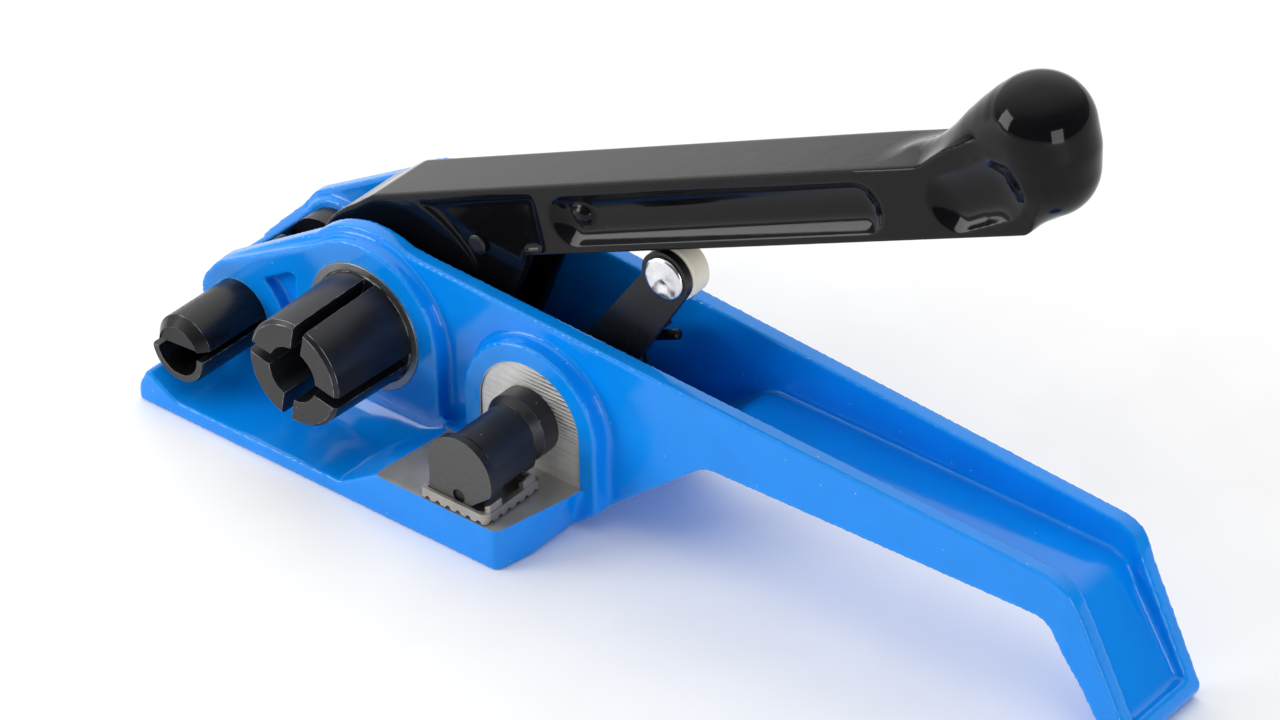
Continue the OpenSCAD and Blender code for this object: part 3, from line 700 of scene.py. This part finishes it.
def milled():
    """Milled faces of the frame: tool marks a millimetre apart, deep at the upper right only."""
    t = Tree("milled")
    where = t.place()
    wobble = t.maths("MULTIPLY", t.noise(70, 2), 0.9 * MM)
    side = t.add("SeparateXYZ", Vector=t.place(spot=GRIPPER)).outputs
    step = t.maths("ADD", side["Z"], wobble)
    lines = t.maths("SINE", t.maths("MULTIPLY", step, 2 * math.pi / (1.05 * MM)))
    broken = t.add("TexNoise", Vector=t.place((420, 420, 1800)), Scale=1, Detail=3).outputs["Fac"]
    marks = t.maths("MULTIPLY", t.range(lines, -0.2, 0.8, 0, 1), t.range(broken, 0.3, 0.55, 0.2, 1))
    right = t.range(side["X"], -0.004, 0.006, 0, 1)
    upper = t.range(side["Z"], -0.003, 0.003, 0, 1)
    grooves = t.maths("MULTIPLY", marks, t.maths("MULTIPLY", right, upper))
    blot = t.noise(200, 5, where)
    fine = t.add("TexNoise", Vector=t.place((160, 160, 2600)), Scale=1, Detail=4).outputs["Fac"]
    tone = t.maths("ADD", t.maths("MULTIPLY", blot, 0.5), t.maths("MULTIPLY", fine, 0.5))
    colour = t.mix(t.range(tone, 0.38, 0.62, 0, 1), (0.58, 0.57, 0.55), (0.76, 0.75, 0.73))
    facing = t.add("SeparateXYZ", Vector=t.add("NewGeometry").outputs["Normal"]).outputs["Z"]
    flat = t.range(facing, 0.5, 0.9, 0, 1)  # faces that point up get a darker colour than the arch
    colour = t.mix(t.maths("MULTIPLY", flat, 0.7), colour, (0.27, 0.27, 0.27))
    colour = t.mix(t.maths("MULTIPLY", grooves, 0.85), colour, (0.07, 0.07, 0.07))
    t.set(Base_Color=colour, Metallic=0.55, Roughness=t.range(blot, 0.3, 0.7, 0.36, 0.5))
    normal = t.bump(fine, 0.01 * MM, 0.5)
    t.set(Normal=t.bump(grooves, 0.12 * MM, 0.8, normal))


def nylon():
    """Cream nylon, slightly see-through at its edges, scuffed where the lever rolls on it."""
    t = Tree("nylon")
    blot = t.noise(160, 4)
    scuff = t.add("TexNoise", Vector=t.place((300, 3000, 300), ROLLER), Scale=1,
                  Detail=3).outputs["Fac"]
    colour = t.mix(t.range(blot, 0.3, 0.7, 0, 1), (0.8, 0.74, 0.6), (0.88, 0.84, 0.72))
    colour = t.mix(t.range(scuff, 0.62, 0.75, 0, 0.35), colour, (0.6, 0.56, 0.47))
    t.set(Base_Color=colour, Roughness=t.range(scuff, 0.3, 0.7, 0.35, 0.5),
          Subsurface_Weight=0.25, Subsurface_Radius=(0.002, 0.0015, 0.001), Subsurface_Scale=0.5,
          Normal=t.bump(scuff, 0.02 * MM, 0.5))


make_materials()

# ---- CAD nodes that stay, with broken edges and their own finish ----

# each node's material and the width of its broken edges in millimetres
FINISH = {
    "windlass_drum": ("drum_black", 0.42), "ratchet_wheel": ("black_oxide", 0.12),
    "ratchet_key": ("bare_steel", 0.1), "windlass_spacer_near": ("bare_steel", 0.15),
    "windlass_spacer_far": ("bare_steel", 0.15), "windlass_washer": ("zinc_steel", 0.12),
    "windlass_circlip": ("black_oxide", 0.12), "windlass_bush_near": ("bush_steel", 0.2),
    "windlass_bush_far": ("bush_steel", 0.2), "lever_bush_near": ("bush_steel", 0.12),
    "lever_bush_far": ("bush_steel", 0.12), "drive_pawl": ("black_oxide", 0.15),
    "drive_pawl_pin": ("black_oxide", 0.1), "holding_pawl": ("black_oxide", 0.15),
    "holding_pawl_pin": ("bare_steel", 0.15), "gripper_shaft": ("grip_black", 0.25),
    "gripper_jaw": ("bare_steel", 0.14), "jaw_pin": ("black_oxide", 0.15),
    "release_arm": ("arm_black", 0.3), "arm_key": ("bare_steel", 0.1),
    "roller_washer": ("zinc_steel", 0.1),
    "spring_anchor_pin": ("zinc_steel", 0.15), "gripper_washer": ("zinc_steel", 0.12),
    "gripper_circlip": ("black_oxide", 0.12), "cutter_sleeve": ("cut_black", 0.2),
    "cutter_blade": ("cut_black", 0.15), "cutter_arm": ("black_oxide", 0.25),
    "cutter_arm_screw": ("black_oxide", 0.12), "cutter_nut": ("zinc_steel", 0.2),
}


def finish_nodes():
    for name, (material, broken) in FINISH.items():
        obj = NODES[name]
        obj.data.materials.clear()
        obj.data.materials.append(MAT[material])
        worn = material + "_edge" in MAT
        if worn:
            obj.data.materials.append(MAT[material + "_edge"])
        modifier(obj, "WELD", merge_threshold=1e-6)
        modifier(obj, "DECIMATE", decimate_type="DISSOLVE", angle_limit=math.radians(0.6),
                 delimit={"SHARP"})
        modifier(obj, "BEVEL", width=broken * MM, segments=2, limit_method="ANGLE",
                 angle_limit=math.radians(35), harden_normals=False, use_clamp_overlap=True,
                 material=1 if worn else -1)
        for p in obj.data.polygons:
            p.use_smooth = True
        modifier(obj, "WEIGHTED_NORMAL", keep_sharp=True)


finish_nodes()

# ---- springs, wound as they are ----


def torsion_spring(name, centre, r, thick, y0, wraps, pitch, enter, leg_in, leg_out):
    """A coil about a line along Y with a straight leg at each end.

    Lengths are in millimetres; thick is the wire's radius. enter is in degrees from +X to +Z.
    """
    r, thick, y0, pitch, leg_in, leg_out = (v * MM for v in (r, thick, y0, pitch, leg_in, leg_out))
    steps = max(8, int(wraps * 40))
    path = []
    a0 = math.radians(enter)
    back = Vector((math.sin(a0), 0, -math.cos(a0)))  # where the first leg comes from
    start = Vector((centre.x + r * math.cos(a0), y0, centre.z + r * math.sin(a0)))
    path += [start + back * leg_in * k / 6 for k in range(6, 0, -1)]
    for i in range(steps + 1):
        a = a0 + 2 * math.pi * wraps * i / steps
        path.append(Vector((centre.x + r * math.cos(a), y0 + pitch * wraps * i / steps,
                            centre.z + r * math.sin(a))))
    a1 = a0 + 2 * math.pi * wraps
    ahead = Vector((-math.sin(a1), 0, math.cos(a1)))
    path += [path[-1] + ahead * leg_out * k / 6 for k in range(1, 7)]
    obj = wire(name + "_wound", path, thick)
    obj.data.materials.append(MAT["spring_steel"])
    return piece(obj, BODY[name], name)


torsion_spring("gripper_spring", GRIPPER, r=8.15, thick=1.3, y0=4.35, wraps=2 + 76 / 360,
               pitch=2.75, enter=114, leg_in=29.2, leg_out=9.2)
torsion_spring("cutter_spring", CUTTER, r=7.6, thick=0.6, y0=-5.0, wraps=4.75,
               pitch=1.3, enter=90, leg_in=8, leg_out=5)
torsion_spring("holding_pawl_spring", HOLD, r=4.1, thick=0.5, y0=4.95, wraps=2.5,
               pitch=1.1, enter=270, leg_in=2, leg_out=9)
torsion_spring("drive_pawl_spring", DRIVE, r=3, thick=0.4, y0=4.75, wraps=2.0,
               pitch=0.9, enter=114, leg_in=7, leg_out=3)

# ---- roller and its rivet ----


def roller():
    lo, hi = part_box("roller")
    r, bore, soft = radius("roller"), 3.08 * MM, 0.7 * MM
    profile = [(bore, lo.y), (r - soft - 0.5 * MM, lo.y)]
    for k in range(7):
        a = math.pi / 2 * k / 6
        profile.append((r - soft + soft * math.sin(a), lo.y + soft - soft * math.cos(a)))
    for k in range(7):
        a = math.pi / 2 * k / 6
        profile.append((r - soft + soft * math.cos(a), hi.y - soft + soft * math.sin(a)))
    profile += [(r - soft - 0.5 * MM, hi.y), (bore, hi.y)]
    obj = lathe("roller_wheel", ROLLER, profile, 96)
    obj.data.materials.append(MAT["nylon"])
    piece(obj, "roller", "roller")


def rivet():
    """The roller's rivet: a set head, dented by the hammer, and a plain far end."""
    lo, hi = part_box("roller_axle")
    r = radius("roller_axle")
    face, under = lo.y, -8.15 * MM
    profile = [(0, face)]
    profile += [(r * k / 10, face + 0.25 * MM * (k / 10) ** 3) for k in range(1, 9)]
    profile += [(r * 0.9, face + 0.22 * MM), (r * 0.97, face + 0.45 * MM), (r, face + 0.7 * MM),
                (r * 0.985, under - 0.1 * MM), (r * 0.96, under), (3 * MM, under),
                (3 * MM, 1.1 * MM), (4.3 * MM, 1.1 * MM), (4.4 * MM, 1.25 * MM),
                (4.3 * MM, 1.9 * MM), (3.2 * MM, hi.y), (0, hi.y)]
    obj = lathe("roller_rivet", ROLLER, profile, 72)
    mesh = obj.data
    co = read(mesh.vertices, "co", 3)
    for i, (x, y, z) in enumerate(co):
        if y < under - 0.05 * MM:
            away = math.hypot(x - ROLLER.x, z - ROLLER.z) / r
            dent = perlin(Vector((x, 0, z)) * 420) * 0.16 * MM
            dent += abs(perlin(Vector((x, 1, z)) * 260)) * 0.2 * MM
            co[i, 1] += max(0, dent + 0.05 * MM) * (1 - 0.4 * away)
    mesh.vertices.foreach_set("co", co.ravel())
    mesh.update()
    obj.data.materials.append(MAT["zinc_steel"])
    piece(obj, "gripper", "roller_axle")


roller()
rivet()
frame_body()
lever_body()

# ---- floor and light ----


def studio():
    t = Tree("floor_paper")
    blot = t.range(t.noise(30, 2), 0.4, 0.6, 0, 1)
    t.set(Base_Color=t.mix(blot, (0.93, 0.93, 0.935), (0.95, 0.95, 0.955)), Roughness=0.7,
          Specular_IOR_Level=0.2)
    size = 6.0
    corners = [(-size, -size, 0), (size, -size, 0), (size, size, 0), (-size, size, 0)]
    floor = add_object("floor", mesh_of("floor", corners, [(0, 1, 2, 3)]))
    floor.data.materials.append(t.mat)
    world = bpy.data.worlds.new("studio")
    world.use_nodes = True
    tree = world.node_tree
    ground = tree.nodes["Background"]
    # the room: pale behind the table, dim on the side that the camera stands on
    sky = tree.nodes.new("ShaderNodeTexCoord").outputs["Generated"]
    facing = tree.nodes.new("ShaderNodeVectorMath")
    facing.operation = "DOT_PRODUCT"
    tree.links.new(sky, facing.inputs[0])
    facing.inputs[1].default_value = (-0.4, 0.3, 0.87)
    ramp = tree.nodes.new("ShaderNodeValToRGB")
    marks = ramp.color_ramp.elements
    for at, tone in ((0.0, 0.08), (0.3, 0.16), (0.6, 0.55), (0.95, 1.0)):
        mark = marks[0] if at == 0.0 else marks.new(at)
        mark.position = at
        mark.color = (tone, tone * 0.995, tone * 0.98, 1)
    marks[-1].color = (1, 0.995, 0.98, 1)
    tree.links.new(facing.outputs["Value"], ramp.inputs["Fac"])
    tree.links.new(ramp.outputs["Color"], ground.inputs["Color"])
    ground.inputs["Strength"].default_value = 1.66
    bpy.context.scene.world = world
    for name, spot, aim, width, height, watts, colour in (
        ("left_window", (-0.82, -0.85, 0.42), (0.1, 0, 0.05), 0.6, 0.62, 9.0, (1, 0.99, 0.97)),
        ("right_window", (1.55, -0.6, 0.3), (0.1, 0, 0.08), 0.65, 0.7, 9.0, (1, 0.99, 0.98)),
    ):
        data = bpy.data.lights.new(name, "AREA")
        data.shape = "RECTANGLE"
        data.size, data.size_y = width, height
        data.energy = watts
        data.color = colour
        lamp = bpy.data.objects.new(name, data)
        lamp.location = spot
        lamp.rotation_euler = (Vector(aim) - Vector(spot)).to_track_quat("-Z", "Y").to_euler()
        bpy.context.scene.collection.objects.link(lamp)
    bpy.context.scene.view_settings.view_transform = "Standard"


studio()
